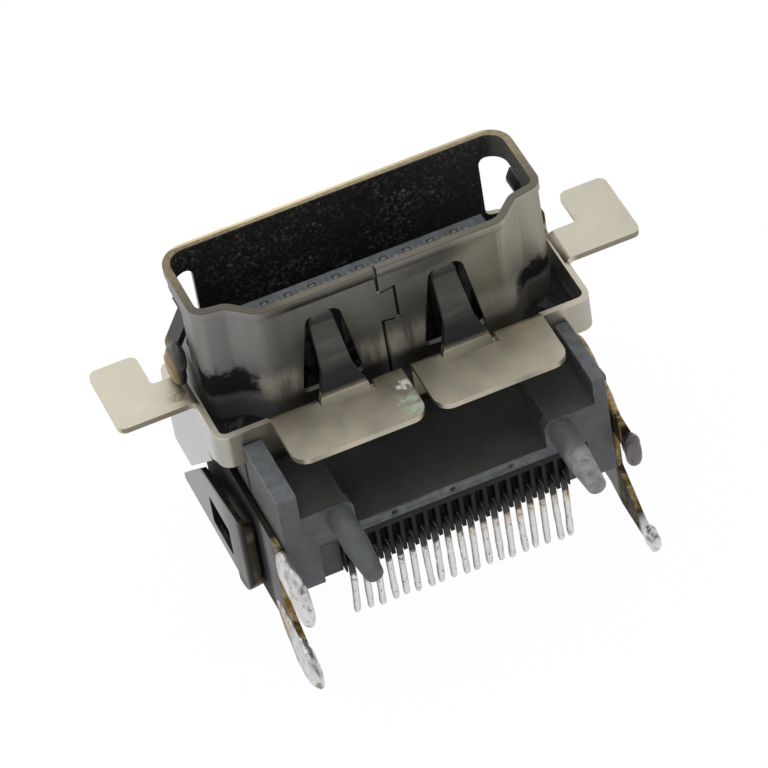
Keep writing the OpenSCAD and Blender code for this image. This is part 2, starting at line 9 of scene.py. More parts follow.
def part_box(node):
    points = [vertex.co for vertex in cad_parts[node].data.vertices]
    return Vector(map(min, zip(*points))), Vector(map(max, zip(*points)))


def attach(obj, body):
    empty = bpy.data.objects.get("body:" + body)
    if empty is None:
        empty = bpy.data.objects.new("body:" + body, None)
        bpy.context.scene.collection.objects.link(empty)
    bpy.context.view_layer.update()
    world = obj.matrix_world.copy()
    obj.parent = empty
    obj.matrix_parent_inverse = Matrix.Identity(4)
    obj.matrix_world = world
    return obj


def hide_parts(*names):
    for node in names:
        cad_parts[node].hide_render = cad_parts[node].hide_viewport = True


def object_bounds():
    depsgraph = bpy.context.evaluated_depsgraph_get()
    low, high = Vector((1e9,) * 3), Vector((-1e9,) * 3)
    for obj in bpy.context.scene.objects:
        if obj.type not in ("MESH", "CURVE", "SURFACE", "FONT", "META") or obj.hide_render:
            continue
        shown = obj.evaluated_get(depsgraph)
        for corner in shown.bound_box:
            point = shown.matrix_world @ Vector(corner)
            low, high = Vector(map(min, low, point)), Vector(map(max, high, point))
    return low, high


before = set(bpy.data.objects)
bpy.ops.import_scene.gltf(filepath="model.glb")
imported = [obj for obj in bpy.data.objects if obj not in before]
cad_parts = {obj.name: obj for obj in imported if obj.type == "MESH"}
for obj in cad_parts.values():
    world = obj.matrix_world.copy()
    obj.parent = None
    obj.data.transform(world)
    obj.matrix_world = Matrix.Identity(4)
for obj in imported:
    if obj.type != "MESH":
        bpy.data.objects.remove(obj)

bl_info = {
    "name": "Board video socket",
    "version": (1, 0, 0),
    "blender": (4, 5, 0),
    "location": "View3D > Sidebar > Socket",
    "description": "Gives the packed socket its metal, plastic, solder and dust, and sets its stage",
    "category": "Object",
}

MM = 0.001
CAD_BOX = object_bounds()
BODY = "root"
CONTACTS = 19

# Places and sizes of the solids that the finishes and the contacts follow, in millimetres
RIM_Z = 7.0
FLOOR_Z = -0.6
BACK_Z = -3.1
AXIS_H = 7.3
FLANGE_Z = 2.8
TONGUE_Z = 4.7
TONGUE_HALF = 0.6
CONTACT_HALF = 0.09
BLADE_SINK = 0.03
NOSE_UP = 0.2
NOSE_LEN = 0.55
NOSE_GAP = 0.04
DROP_IN = 0.22
BEND_R = 0.25

# Copies of the solids: the gap that is closed, the bevel's segments, and the angles up to which faces count
# as one, from which an edge is rounded and from which shading breaks
MERGE_GAP = 0.0005 * MM
BEVEL_SEGMENTS = 2
FLAT_ANGLE = math.radians(0.6)
ROUND_ANGLE = math.radians(42)
BREAK_ANGLE = math.radians(38)

# Boxes, in millimetres, in which the seam, slots or holes make rings of a solid's flat faces
SEAM_BOX = ((-9, 0, 6.5), (9, 12, 8))
SLOT_BOX = ((-9, 5, -4), (9, 9, 6))
HOLE_BOX = ((-3, -0.01, -1.05), (3, 0.16, -0.68))

# The mouth's lining: how far a face has to turn to the axis, how little it may tilt, and half its width
LINING_TURN = 0.2
LINING_TILT = 0.5
LINING_X = 7.02

# Contacts: points along the path, points round the section, the section's power, the tip's share of the run,
# the square of its end's least size, the edges' power, and how far the path stops short of its solid's end
STRIP_POINTS = 150
STRIP_AROUND = 16
STRIP_POWER = 4.0
STRIP_CAP = 0.015
STRIP_END = 0.02
STRIP_EDGE = 6
STRIP_SHORT = 0.01

# Swell of the tin on the tails: height, waves along the run and shift from one contact to the next
TAIL_WAVES = ((0.05, 74, 1.7), (0.04, 91, 2.9))

# Lean and sag of the tails: height in millimetres, shift from one contact to the next and start
LEAN = (0.05, 2.3, 0.4)
SAG = (0.04, 1.7, 1.1)

# Contacts that lean further, in millimetres
BENT = {0: -0.12, 1: -0.05}

# Solder: points along the line, points round the section, the section's power, the line's highest degree, and
# the power and the square of the least size of its round ends
COAT_POINTS = 64
COAT_AROUND = 28
COAT_POWER = 2.6
COAT_DEGREE = 3
COAT_ROUND = 8
COAT_END = 0.001

# Lumps of the solder: height, waves along the line and waves round it, and their shift from piece to piece
LUMP_WAVES = ((1.0, 8, 1), (0.7, 13, -2), (0.4, 21, 3))
LUMP_SHIFT = 2.1

# Wear of the moulded edges: radius in which an edge counts, and samples
WEAR_R = 0.09 * MM
WEAR_SAMPLES = 4

# Stage: points along a side of the floor, its gap under the part, its paint and the share of plain white in what
# the camera sees of it, where the dark part of the room begins and is full, and the camera's sensor and near end
WHITE = (1, 1, 1, 1)
FLOOR_POINTS = 5
FLOOR_GAP = 0.02 * MM
FLOOR_PAINT = (0.9, 0.9, 0.9, 1)
FLOOR_WHITE = 0.98
DARK_FROM, DARK_FULL = 0.72, 0.95
SENSOR = 36.0
NEAREST = 0.01


class SocketFinish(bpy.types.PropertyGroup):
    """Colours and wear of the socket's own materials"""

    nickel: bpy.props.FloatVectorProperty(
        name="Flange nickel", description="Colour of the outer shell's plating",
        default=(0.585, 0.545, 0.45), size=3, min=0, max=1, subtype="COLOR")
    # The mouth's nickel is a darker copy of the flange's nickel: painted shade for the dark reflections on the
    # sleeve
    mouth_shaded_nickel: bpy.props.FloatVectorProperty(
        name="Mouth nickel", description="Colour of the mouth's darker plating",
        default=(0.33, 0.325, 0.315), size=3, min=0, max=1, subtype="COLOR")
    bronze: bpy.props.FloatVectorProperty(
        name="Rim bronze", description="Colour of the rolled rim, where the plating is thin",
        default=(0.42, 0.355, 0.235), size=3, min=0, max=1, subtype="COLOR")
    # The lining inside the mouth is painted near black: painted shade of the deep mouth
    lining_shade: bpy.props.FloatVectorProperty(
        name="Mouth soot", description="Colour of the dull lining inside the mouth",
        default=(0.02, 0.021, 0.02), size=3, min=0, max=1, subtype="COLOR")
    steel: bpy.props.FloatVectorProperty(
        name="Cover steel", description="Colour of the rear cover",
        default=(0.25, 0.25, 0.247), size=3, min=0, max=1, subtype="COLOR")
    plastic: bpy.props.FloatVectorProperty(
        name="Moulding", description="Colour of the housing's plastic",
        default=(0.053, 0.054, 0.053), size=3, min=0, max=1, subtype="COLOR")
    # This colour is the blue-grey of the scuffs on rails, pegs and tongue end, and it is also painted light on
    # the faces turned to the board
    scuff_and_light: bpy.props.FloatVectorProperty(
        name="Moulding bloom", description="Colour of the scuffed plastic that faces the board",
        default=(0.125, 0.137, 0.147), size=3, min=0, max=1, subtype="COLOR")
    tin: bpy.props.FloatVectorProperty(
        name="Tin", description="Colour of the tails and of the solder",
        default=(0.8, 0.795, 0.785), size=3, min=0, max=1, subtype="COLOR")
    flux: bpy.props.FloatVectorProperty(
        name="Flux", description="Colour of the burnt flux at the roots of legs and tails",
        default=(0.36, 0.2, 0.035), size=3, min=0, max=1, subtype="COLOR")
    dust: bpy.props.FloatProperty(
        name="Dust", description="Share of the places where dust grains lie",
        default=0.3, min=0, max=1, subtype="FACTOR")


class SocketForm(bpy.types.PropertyGroup):
    """Sizes of what is shaped here rather than in the solids"""

    plate_round: bpy.props.FloatProperty(
        name="Sheet edge", description="Rounding of the stamped sheets' edges",
        default=0.035 * MM, min=0, max=0.1 * MM, unit="LENGTH", precision=6)
    mould_round: bpy.props.FloatProperty(
        name="Moulded edge", description="Rounding of the mouldings' edges",
        default=0.05 * MM, min=0, max=0.08 * MM, unit="LENGTH", precision=6)
    tail_w: bpy.props.FloatProperty(
        name="Tail width", description="Width of a tinned contact",
        default=0.26 * MM, min=0.2 * MM, max=0.3 * MM, unit="LENGTH", precision=6)
    tail_t: bpy.props.FloatProperty(
        name="Tail thickness", description="Thickness of a tinned contact",
        default=0.185 * MM, min=0.14 * MM, max=0.22 * MM, unit="LENGTH", precision=6)
    lump: bpy.props.FloatProperty(
        name="Solder lumps", description="Height of the solder's lumps against its thickness",
        default=0.055, min=0, max=0.3, subtype="FACTOR")


class SocketStage(bpy.types.PropertyGroup):
    """Floor, light and camera"""

    eye: bpy.props.FloatVectorProperty(
        name="Eye", description="Place of the camera",
        default=(-39.757 * MM, -134.448 * MM, 141.075 * MM), size=3, subtype="TRANSLATION")
    ahead: bpy.props.FloatVectorProperty(
        name="Ahead", description="Direction in which the camera looks",
        default=(0.19433, 0.69156, -0.69568), size=3, subtype="DIRECTION")
    upward: bpy.props.FloatVectorProperty(
        name="Upward", description="Direction that is up in the picture",
        default=(0.35476, 0.61165, 0.70713), size=3, subtype="DIRECTION")
    lens: bpy.props.FloatProperty(
        name="Lens", description="Focal length for a 36 mm sensor",
        default=243.75, min=50, max=400, unit="CAMERA")
    floor_side: bpy.props.FloatProperty(
        name="Floor", description="Side of the pale floor",
        default=3.0, min=0.5, max=6, unit="LENGTH")
    sky: bpy.props.FloatProperty(
        name="Sky", description="Level of the light from all round",
        default=0.86, min=0, max=2)
    dark_way: bpy.props.FloatVectorProperty(
        name="Dark way", description="Direction of the dark part of the room",
        default=(0.1, -0.95, 0.25), size=3, subtype="DIRECTION")
    dusk: bpy.props.FloatProperty(
        name="Dark side", description="Level of the dark part of the room",
        default=0.05, min=0, max=1)


def pick(sockets, key):
    """A socket by its place, its identifier or its name."""
    if isinstance(key, int):
        return sockets[key]
    for socket in sockets:
        if socket.identifier == key:
            return socket
    return sockets[key]


class Wire:
    """One output of a node tree. Arithmetic on it adds Math nodes."""

    def __init__(self, shade, socket):
        self.shade = shade
        self.socket = socket

    def math(self, operation, *values):
        return self.shade.node("ShaderNodeMath", {"operation": operation}, dict(enumerate(values)))

    def __add__(self, other):
        return self.math("ADD", self, other)

    __radd__ = __add__

    def __sub__(self, other):
        return self.math("SUBTRACT", self, other)

    def __rsub__(self, other):
        return self.math("SUBTRACT", other, self)

    def __mul__(self, other):
        return self.math("MULTIPLY", self, other)

    __rmul__ = __mul__

    def __pow__(self, other):
        return self.math("POWER", self, other)

    def __neg__(self):
        return self.math("MULTIPLY", self, -1.0)

    def __abs__(self):
        return self.math("ABSOLUTE", self)

    def __lt__(self, other):
        return self.math("LESS_THAN", self, other)

    def __or__(self, other):
        return self.math("MAXIMUM", self, other)

    def rise(self, low, high):
        """0 below low, 1 above high and a smooth step between, or the reverse where low is above high."""
        return self.shade.node(
            "ShaderNodeMapRange", {"interpolation_type": "SMOOTHSTEP", "clamp": True},
            {"Value": self, "From Min": low, "From Max": high, "To Min": 0.0, "To Max": 1.0})


class Shade:
    """A node tree that is written as expressions."""

    def __init__(self, tree):
        self.tree = tree
        tree.nodes.clear()

    def node(self, kind, settings=None, values=None, out=0):
        """Adds one node: its settings first, then the values or links of its sockets."""
        made = self.tree.nodes.new(kind)
        for name, value in (settings or {}).items():
            setattr(made, name, value)
        for key, value in (values or {}).items():
            socket = pick(made.inputs, key)
            if isinstance(value, Wire):
                self.tree.links.new(value.socket, socket)
            else:
                socket.default_value = value
        return Wire(self, pick(made.outputs, out)) if made.outputs else None

    def vector(self, operation, *values, out=0):
        return self.node("ShaderNodeVectorMath", {"operation": operation}, dict(enumerate(values)), out)

    def place(self):
        """Object coordinates in millimetres."""
        metres = self.node("ShaderNodeTexCoord", out="Object")
        return self.node("ShaderNodeVectorMath", {"operation": "SCALE"}, {0: metres, "Scale": 1000.0})

    def parts(self, vector):
        split = self.node("ShaderNodeSeparateXYZ", None, {0: vector})
        return [Wire(self, socket) for socket in split.socket.node.outputs]

    def facing(self):
        """Components of the surface's outward normal."""
        return self.parts(self.node("ShaderNodeNewGeometry", out="Normal"))

    def noise(self, place, size, detail=3.0, rough=0.55):
        """Soft noise about 0.5 with features of that size in millimetres."""
        return self.node("ShaderNodeTexNoise", {"noise_dimensions": "3D"},
                         {"Vector": place, "Scale": 1.0 / size, "Detail": detail, "Roughness": rough}, "Fac")

    def stretched(self, place, x, y, z):
        """The place scaled along each axis, for streaks."""
        return self.vector("MULTIPLY", place, (x, y, z))

    def grains(self, place, pitch, radius, share):
        """Round grains on a jittered pitch, in that share of the cells."""
        cell = self.node("ShaderNodeTexVoronoi", {"voronoi_dimensions": "3D", "feature": "F1"},
                         {"Vector": place, "Scale": 1.0 / pitch}, "Distance")
        tone = Wire(self, cell.socket.node.outputs["Color"])
        here = self.node("ShaderNodeSeparateColor", None, {0: tone})
        return cell.rise(radius / pitch, 0.45 * radius / pitch) * (here < share)

    def spot(self, place, middle, radius, soft=0.5):
        """A round spot that fades over the outer part of its radius."""
        far = self.vector("DISTANCE", place, middle, out="Value")
        return far.rise(radius, radius * (1 - soft))

    def blend(self, share, low, high):
        """Mix of two colours."""
        return self.node("ShaderNodeMix", {"data_type": "RGBA"},
                         {"Factor_Float": share, "A_Color": tone(low), "B_Color": tone(high)}, "Result_Color")

    def tint(self, colour, level):
        """A colour times a level that changes over the surface."""
        level = self.node("ShaderNodeCombineColor", None, {0: level, 1: level, 2: level})
        return self.node("ShaderNodeMix", {"data_type": "RGBA", "blend_type": "MULTIPLY"},
                         {"Factor_Float": 1.0, "A_Color": tone(colour), "B_Color": level}, "Result_Color")

    def bump(self, height, depth):
        """Normal of a height field, depth in millimetres."""
        return self.node("ShaderNodeBump", None, {"Height": height, "Strength": 1.0, "Distance": depth * MM})

    def finish(self, **values):
        """The surface itself: a principled shader with these sockets."""
        named = {key.replace("_", " "): tone(value) for key, value in values.items()}
        surface = self.node("ShaderNodeBsdfPrincipled", None, named)
        self.node("ShaderNodeOutputMaterial", None, {"Surface": surface})


def tone(value):
    """Colours get their fourth number. Anything else stays."""
    if isinstance(value, Wire) or isinstance(value, (int, float)):
        return value
    return (*tuple(value)[:3], 1.0)


def material(name):
    made = bpy.data.materials.new(name)
    made.use_nodes = True
    return made, Shade(made.node_tree)


def mouth_plating(look):
    """Inner shell: nickel darkened as painted shade, with painted reflections and a painted highlight on its
    front wall and painted shade in its corners and on the side plates, a dull lining painted near black as
    painted shade, with dust, a tan rim with painted shade and a painted highlight, and burnt and tinned legs.
    """
    made, s = material("mouth_plating")
    place = s.place()
    x, y, z = s.parts(place)
    nx = s.facing()[0]
    cloud = s.noise(place, 1.6)
    streak = s.noise(s.stretched(place, 1.0, 1.0, 0.16), 0.35, 4.0)
    fine = s.noise(place, 0.06, 2.0)
    inside = s.node("ShaderNodeAttribute", {"attribute_name": "lining"}, out="Fac")
    left, right, right_plate = x.rise(-3.5, -4.5), x.rise(2.2, 4.4), x.rise(6.0, 6.5)
    # The sleeve's nickel changes across x, darkest in the middle and lighter at the left and the right: painted
    # shade and painted reflection
    wall_light_and_shade = s.blend(x.rise(-5.2, -4.2), look.mouth_shaded_nickel, (0.19, 0.186, 0.17))
    wall_light_and_shade = s.blend(right, wall_light_and_shade, (0.4, 0.38, 0.32))
    # A lighter streaky band low on the front wall, above the flange: painted reflection
    foot = (z + 0.5 * cloud).rise(4.3, 3.3) * abs(x).rise(5.9, 5.3) * y.rise(6.5, 5.8) * z.rise(2.0, 2.6)
    wall_light_and_shade = s.blend(foot * streak.rise(0.25, 0.6), wall_light_and_shade, (0.47, 0.43, 0.35))
    wall = s.tint(wall_light_and_shade, 0.72 + 0.3 * cloud + 0.24 * streak)
    # Near black in the front wall's low side corners, where it meets the flange: painted shade
    ragged = 1.6 * s.noise(place, 0.5, 5.0, 0.65)
    corner_shade = (abs(x) + ragged).rise(5.9, 6.5) * (z + ragged + 0.4 * right).rise(4.9, 4.3) * y.rise(7.2, 6.6)
    corner_shade = corner_shade * (z + 0.4 * ragged).rise(2.4, 3.0)
    wall = s.blend(corner_shade, wall, s.tint((0.018, 0.018, 0.016), 0.4 + 1.2 * fine))
    pits = s.grains(place, 0.9, 0.04, 0.12)
    wall = s.blend(pits, wall, (0.7, 0.68, 0.62))
    rim = z.rise(RIM_Z - 0.07, RIM_Z - 0.02)
    worn = s.tint(look.bronze, 0.25 + 0.9 * s.noise(place, 0.2, 4.0))
    # Towards the front the rim is painted darker: painted shade
    worn = s.blend(y.rise(5.6, 9.2), (0.16, 0.147, 0.12), worn)
    # The bright line along the rim's back edge, stronger at the left: painted highlight
    line = y.rise(9.72, 9.8) * (0.55 + 0.45 * x.rise(4.0, -2.0))
    worn = s.blend(line, worn, (0.8, 0.67, 0.42))
    wall = s.blend(rim, wall, worn)
    plate = z.rise(FLOOR_Z + 0.05, FLOOR_Z - 0.1)
    edge = abs(nx).rise(0.75, 0.4)
    burnt = s.blend(cloud.rise(0.42, 0.66), (0.03, 0.027, 0.022), (0.075, 0.064, 0.046))
    gilt = s.blend(streak.rise(0.4, 0.6), (0.34, 0.24, 0.1), (0.12, 0.085, 0.04))
    burnt = s.blend(right_plate, burnt, gilt)
    # The side plates' outer faces go near black from y 2.3 up, behind the flap: painted shade; the right plate
    # is a darker grey
    sheet = s.blend(y.rise(1.7, 2.3), s.tint((0.17, 0.17, 0.175), 0.5 + cloud), (0.03, 0.029, 0.029))
    sheet = s.blend(right_plate, sheet, s.tint((0.12, 0.118, 0.115), 0.5 + cloud))
    wall = s.blend(plate, wall, s.blend(edge, sheet, burnt))
    leg = y.rise(1.15, 0.75) * plate
    crust = s.blend(s.noise(place, 0.35).rise(0.3, 0.7), s.tint(look.flux, 0.7), (0.45, 0.37, 0.23))
    soiled = s.noise(place, 0.5).rise(0.4 - 0.06 * x.rise(0.0, 1.0), 0.64)
    crust = s.blend(soiled, crust, (0.05, 0.038, 0.024))
    wall = s.blend(leg * (0.35 + 0.65 * edge), wall, crust)
    rear = y.rise(-0.75, -1.25) * z.rise(-3.2, -3.6)
    bare = leg * (rear | y.rise(0.1, -0.4) * x.rise(-6.0, -6.5) * z.rise(-3.6, -3.2))
    wall = s.blend(bare, wall, s.tint(look.tin, 0.7 + 0.5 * cloud))
    crusted = leg * (1.0 - bare)
    scorched = leg * right_plate * z.rise(-3.2, -2.8)
    end = s.blend(y.rise(-0.8, -1.05), (0.02, 0.014, 0.009), (0.1, 0.065, 0.085))
    end = s.blend(y.rise(-0.35, 0.0) * streak.rise(0.35, 0.6), end, (0.3, 0.22, 0.1))
    wall = s.blend(scorched, wall, end)
    speckle = s.noise(place, 0.14, 3.0, 0.7).rise(0.46, 0.8)
    haze = s.noise(place, 1.3).rise(0.36, 0.7)
    motes = s.grains(place, 0.35, 0.1, look.dust)
    # The lining inside the mouth is painted near black as painted shade, lighter towards the right inner wall as
    # painted light, with dust on it
    lining_shade = s.tint(look.lining_shade, 1.0 + 0.9 * x.rise(2.0, 6.0))
    lining = s.blend(speckle * (0.25 + 0.75 * haze), lining_shade, (0.2, 0.203, 0.188))
    lining = s.blend(motes * (0.1 + 0.6 * haze), lining, (0.24, 0.24, 0.225))
    lining = s.blend(x.rise(6.4, 6.8) * (0.4 + 0.6 * speckle), lining, (0.2, 0.19, 0.165))
    dull = inside * (1.0 - rim) * z.rise(FLOOR_Z - 0.06, FLOOR_Z)
    rough = 0.32 + 0.1 * cloud + 0.05 * fine + 0.1 * leg + 0.3 * left + 0.16 * right
    s.finish(Base_Color=s.blend(dull, wall, lining),
             Metallic=1.0 - (dull | crusted * 0.7 | corner_shade * 0.9 | foot * 0.5),
             Roughness=(rough | crusted * 0.75) * (1.0 - dull) + 0.7 * dull,
             Specular_IOR_Level=0.0,
             Normal=s.bump(fine * 0.12 + cloud * 0.8 + pits, 0.012))
    return made


def flange_plating(look):
    """Outer shell: satin nickel with painted highlights on the tabs' front edges, painted reflection on the side
    walls, painted shade on the wraps, bluish dark fingers as painted shade with painted highlight bands, a green
    stain and solder spots on one tab.
    """
    made, s = material("flange_plating")
    place = s.place()
    x, y, z = s.parts(place)
    nx, ny = s.facing()[:2]
    cloud = s.noise(place, 1.9)
    mottle = s.noise(place, 0.7, 4.0)
    fine = s.noise(place, 0.045, 2.0)
    colour = s.tint(look.nickel, 0.82 + 0.22 * cloud + 0.12 * mottle)
    tab = y.rise(3.8, 3.6) * abs(x).rise(6.0, 5.75)
    haze = s.noise(s.stretched(place, 1.0, 0.6, 1.0), 0.9, 2.0)
    satin = s.blend(haze.rise(0.35, 0.65), (0.435, 0.41, 0.325), (0.51, 0.455, 0.355))
    satin = s.tint(satin, 0.76 + 0.26 * cloud + 0.2 * mottle)
    colour = s.blend(tab, colour, satin)
    # The tabs' front edges are painted lighter: painted highlight
    lip_highlight = tab * (y + 0.25 * mottle).rise(0.75, 0.45)
    colour = s.blend(lip_highlight * 0.3, colour, (0.66, 0.6, 0.47))
    # The side walls, picked by the way they face, get a greyer, bluish nickel: painted reflection
    side = z.rise(FLANGE_Z - 0.3, FLANGE_Z - 0.55) * abs(nx).rise(0.5, 0.9)
    colour = s.blend(side, colour, (0.5, 0.494, 0.503))
    # The wraps low at the front corners, under the flange, are painted darker: painted shade
    wrap = z.rise(FLANGE_Z - 0.2, FLANGE_Z - 0.35) * y.rise(4.6, 4.2) * abs(x).rise(6.3, 6.9)
    colour = s.blend(wrap * 0.6, colour, (0.3, 0.285, 0.25))
    brim = (-ny).rise(0.5, 0.85) * abs(x).rise(7.9, 8.3)
    colour = s.blend(brim * 0.8, colour, (0.16, 0.135, 0.095))
    # The spring fingers are painted dark blue-grey as painted shade, with painted highlight bands on their upper
    # part, and their tips are painted darker to hold back their highlight: painted shade
    root = y.rise(3.72, 3.9) * z.rise(2.3, 2.6)
    finger = (root | z.rise(FLANGE_Z + 0.04, FLANGE_Z + 0.16)) * abs(x).rise(5.0, 4.6)
    highlight_bands = s.noise(s.stretched(place, 0.15, 1.0, 1.0), 0.3)
    grey = s.blend(z.rise(3.4, 3.9), (0.075, 0.079, 0.082), s.tint((0.2, 0.198, 0.183), 0.2 + 1.4 * highlight_bands))
    tip = z.rise(4.3, 4.6)
    grey = s.blend(tip, grey, (0.15, 0.148, 0.137))
    colour = s.blend(finger, colour, grey)
    clip = z.rise(2.9, 3.1) * abs(x).rise(6.6, 6.8)
    colour = s.blend(clip, colour, s.blend(z.rise(3.5, 4.0), (0.2, 0.14, 0.06), (0.075, 0.07, 0.078)))
    stain = s.spot(place, (-0.62, 1.5, FLANGE_Z), 0.85, 0.7) * s.noise(place, 0.28).rise(0.42, 0.58)
    colour = s.blend(stain * 0.8, colour, (0.36, 0.52, 0.4))
    vein = s.spot(place, (-0.5, 1.42, FLANGE_Z), 0.3, 0.6) * s.noise(place, 0.13).rise(0.56, 0.66)
    colour = s.blend(vein, colour, (0.05, 0.2, 0.13))
    pale = s.spot(place, (-0.5, 2.6, FLANGE_Z), 0.42, 0.5) * s.noise(place, 0.18).rise(0.4, 0.55)
    colour = s.blend(pale, colour, (0.75, 0.75, 0.68))
    smudge = s.spot(place, (-8.3, 6.4, FLANGE_Z), 0.75, 0.8) * s.noise(place, 0.3, 4.0).rise(0.4, 0.7)
    colour = s.blend(smudge * 0.7, colour, (0.2, 0.155, 0.09))
    specks = s.grains(place, 0.6, 0.035, 0.14)
    colour = s.blend(specks * 0.6, colour, (0.2, 0.18, 0.15))
    s.finish(Base_Color=colour,
             Metallic=1.0 - 0.85 * (stain | pale),
             Roughness=0.3 + 0.12 * mottle + 0.1 * cloud + finger * (0.2 * tip + 0.06),
             Normal=s.bump(fine * 0.3 + mottle * 0.6, 0.006))
    return made


def cover_plating(look):
    """Rear cover: grey steel that darkens to its lower edge and heel as painted shade, with brown cut edges."""
    made, s = material("cover_plating")
    place = s.place()
    x, y, z = s.parts(place)
    nx, _, nz = s.facing()
    cloud = s.noise(place, 1.4)
    drawn = s.noise(s.stretched(place, 1.0, 0.12, 1.0), 0.12, 3.0)
    fine = s.noise(place, 0.05, 2.0)
    colour = s.tint(look.steel, 0.78 + 0.25 * cloud + 0.18 * drawn)
    # Darker towards the lower edge, and near black at the heel that turns in under the part: painted shade
    low = y.rise(6.4, 3.5) * abs(x).rise(7.2, 7.5)
    colour = s.blend(low * 0.9, colour, (0.055, 0.054, 0.052))
    heel = y.rise(3.6, 3.1) | (z.rise(-4.9, -5.7) * y.rise(5.2, 4.2))
    colour = s.blend(heel, colour, (0.014, 0.013, 0.012))
    front = (z + 0.186 * y + 0.82).rise(-0.3, -0.12)
    cut = (abs(nx).rise(0.75, 0.4) | front) * abs(x).rise(7.2, 7.5) * nz.rise(-0.6, -0.2)
    brown = s.blend(cloud.rise(0.45, 0.62), (0.03, 0.024, 0.016), (0.085, 0.07, 0.046))
    colour = s.blend(cut * 0.95, colour, brown)
    s.finish(Base_Color=colour, Metallic=1.0, Roughness=0.3 + 0.14 * cloud + 0.08 * drawn,
             Normal=s.bump(drawn * 0.4 + fine * 0.2, 0.006))
    return made


def moulding(look, name, dark, worn_share):
    """Glass-filled plastic: charcoal, blue-grey scuffs on its rails, pegs and tongue end, the same blue-grey as
    painted light on the faces turned to the board, painted shade in the corner behind the shell, with worn edges
    and dust."""
    made, s = material(name)
    place = s.place()
    x, y, z = s.parts(place)
    ny = s.facing()[1]
    cloud = s.noise(place, 1.1)
    patch = s.noise(place, 0.4, 4.0)
    grain = s.noise(place, 0.035, 2.0)
    colour = s.tint(look.plastic, dark * (0.4 + 0.6 * cloud + 0.6 * s.noise(place, 0.16, 4.0, 0.7)))
    rail = z.rise(1.7, 1.85) * abs(x).rise(5.9, 6.1)
    peg = y.rise(0.02, -0.05) * 0.55
    nose = z.rise(3.9, 4.3)
    mottled = 0.55 + 0.5 * patch.rise(0.3, 0.68)
    # Faces turned to -Y, on the board side, get the blue-grey as painted light; on the rails, pegs and tongue
    # end it is scuffing
    board = (-ny).rise(0.25, 0.75) * y.rise(0.14, 0.06) * 0.62
    side = (-ny).rise(0.25, 0.75) * y.rise(0.6, 1.2) * 0.4
    scuffed_and_lit = (board | side | rail | peg | nose) * mottled * worn_share
    colour = s.blend(scuffed_and_lit, colour, s.tint(look.scuff_and_light, dark * (0.75 + 0.5 * cloud)))
    # Near black in the corner behind the shell wall: painted shade
    corner = y.rise(3.55, 3.75) * z.rise(2.2, 1.6) * z.rise(0.7, 1.0)
    colour = s.blend(corner, colour, (0.008, 0.008, 0.009))
    tip = y.rise(-1.2, -2.2) * patch.rise(0.15, 0.65) * x.rise(-2.0, 2.0)
    colour = s.blend(tip * 0.85, colour, (0.32, 0.323, 0.33))
    round_edge = s.node("ShaderNodeBevel", {"samples": WEAR_SAMPLES}, {"Radius": WEAR_R})
    true = s.node("ShaderNodeNewGeometry", out="True Normal")
    worn = s.vector("DOT_PRODUCT", round_edge, true, out="Value").rise(0.94, 0.8) * patch.rise(0.35, 0.7)
    colour = s.blend(worn * 0.45 * worn_share, colour, (0.24, 0.245, 0.26))
    motes = s.grains(place, 0.45, 0.03, 0.1)
    colour = s.blend(motes, colour, (0.4, 0.4, 0.38))
    s.finish(Base_Color=colour, Roughness=0.42 + 0.22 * patch, Specular_IOR_Level=0.1 + 0.28 * worn_share,
             Normal=s.bump(grain * 0.6 + patch * 0.9, 0.02))
    return made


def tinned_contact(look):
    """Contacts: bright tin with dark flecks on the tails, blades and noses painted dark as painted shade inside
    the housing and the mouth, and flux at the tails' roots.
    """
    made, s = material("tinned_contact")
    place = s.place()
    x, y, z = s.parts(place)
    cloud = s.noise(place, 0.5)
    fine = s.noise(place, 0.07, 3.0)
    colour = s.tint(look.tin, 0.78 + 0.3 * cloud)
    fleck = s.grains(place, 0.2, 0.06, 0.26)
    fleck = fleck | s.noise(s.stretched(place, 1.0, 1.0, 0.25), 0.09).rise(0.6, 0.7)
    fleck = fleck | s.noise(place, 0.16, 4.0).rise(0.46, 0.6) * z.rise(-4.0, -3.4)
    tail = y.rise(0.6, 0.4)
    rand = s.node("ShaderNodeAttribute", {"attribute_name": "edge"}, out="Fac")
    dark = fleck | rand ** 0.5 * s.noise(s.stretched(place, 1.0, 1.0, 0.5), 0.14).rise(0.25, 0.5)
    colour = s.blend(dark * tail * 0.85, colour, (0.07, 0.062, 0.05))
    root = z.rise(-4.1, -3.3) * tail * x.rise(-2.5, 3.0)
    colour = s.blend(root * (0.2 + 0.4 * cloud), colour, look.flux)
    # Inside the housing and on the tongue the contacts are painted dark, the noses a little lighter: painted
    # shade
    sunk = z.rise(-3.36, -3.16)
    sunk_shade = s.blend(z.rise(4.2, 4.4), (0.05, 0.048, 0.044), (0.2, 0.2, 0.185))
    colour = s.blend(sunk, colour, s.tint(sunk_shade, 0.6 + 0.8 * fine))
    s.finish(Base_Color=colour, Metallic=1.0 - 0.6 * sunk,
             Roughness=0.2 + 0.22 * cloud + 0.1 * fine + 0.3 * sunk,
             Normal=s.bump(fine * 0.6 + cloud, 0.012))
    return made


